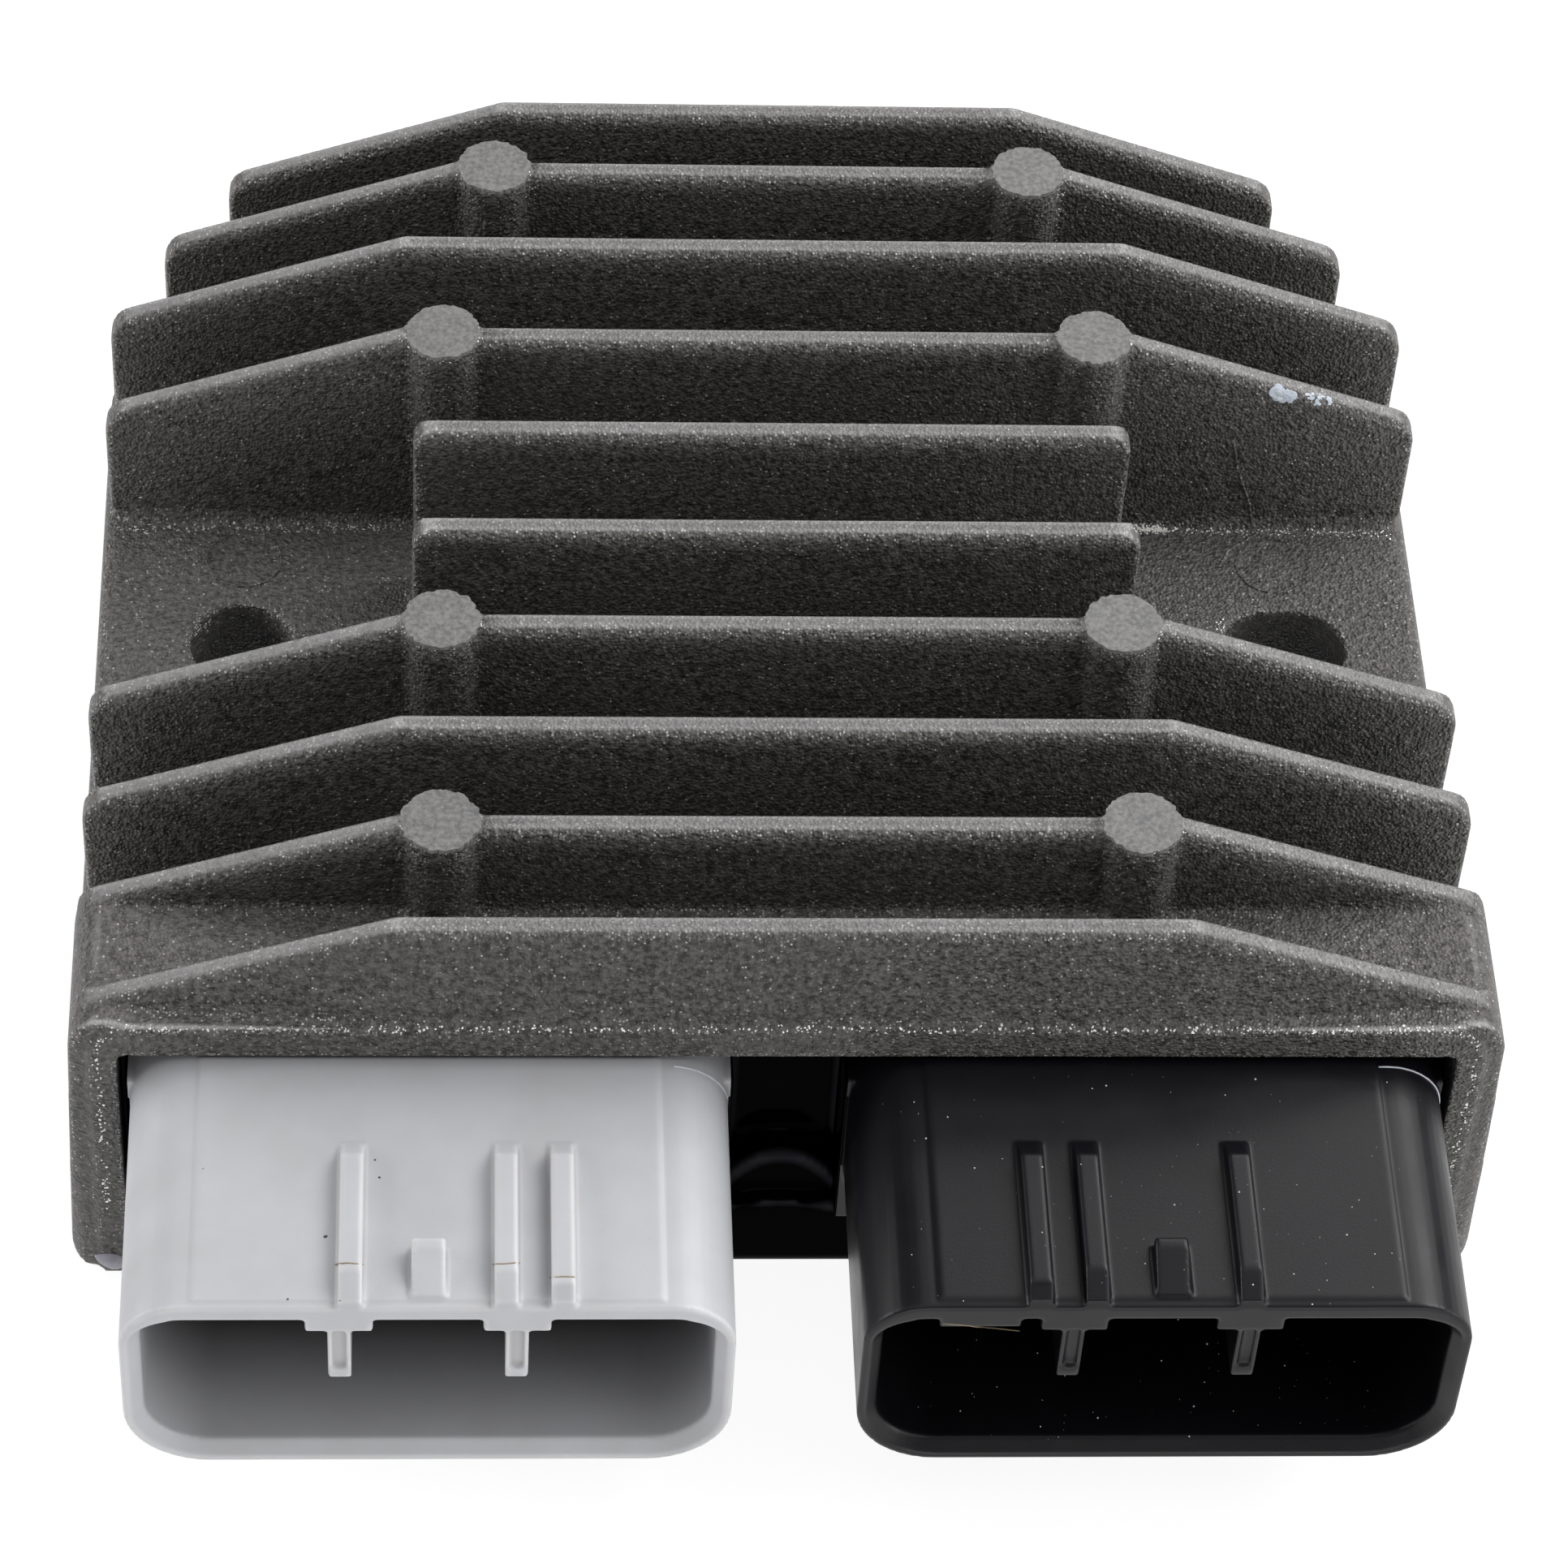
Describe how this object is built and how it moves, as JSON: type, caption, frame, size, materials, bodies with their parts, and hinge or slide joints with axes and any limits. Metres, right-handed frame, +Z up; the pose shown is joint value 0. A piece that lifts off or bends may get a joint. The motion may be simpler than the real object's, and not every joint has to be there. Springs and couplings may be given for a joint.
{
  "type": "voltage regulator rectifier",
  "caption": "Finned die-cast voltage regulator rectifier for a motorcycle, with two keyed multi-way sockets in its front, side mounting holes and potted electronics.",
  "frame": {"origin": "midway between the centres of the two mounting holes, in the plane of the underside", "axes": "+X to the right seen from the sockets, through both mounting holes; +Y to the rear, away from the sockets; +Z up, from the underside to the fins"},
  "size_m": [0.0936, 0.0993, 0.0331],
  "materials": {
    "housing": "fine satin charcoal coating on die-cast aluminium",
    "grey_plastic": "satin light grey moulded plastic",
    "black_plastic": "satin near-black moulded plastic",
    "terminal": "tin-plated brass",
    "resin": "glossy black potting resin",
    "sealant": "pale grey-violet cured sealant",
    "board": "green solder mask",
    "pad": "soft grey insulating pad",
    "package": "moulded black epoxy",
    "can": "bare aluminium can"
  },
  "bodies": {
    "root": {"heatsink_housing": "housing", "grey_socket": "grey_plastic", "black_socket": "black_plastic", "grey_terminal_left": "terminal", "grey_terminal_middle": "terminal", "grey_terminal_right": "terminal", "black_terminal_left": "terminal", "black_terminal_middle": "terminal", "black_terminal_right": "terminal", "potting_resin": "resin", "sealant_bead": "sealant", "circuit_board": "board", "insulating_pad": "pad", "power_switch_1": "package", "power_switch_2": "package", "power_switch_3": "package", "power_switch_4": "package", "power_switch_5": "package", "power_switch_6": "package", "control_chip": "package", "filter_capacitor_1": "can", "filter_capacitor_2": "can", "sense_resistor_1": "package", "sense_resistor_2": "package"}
  },
  "joints": []
}
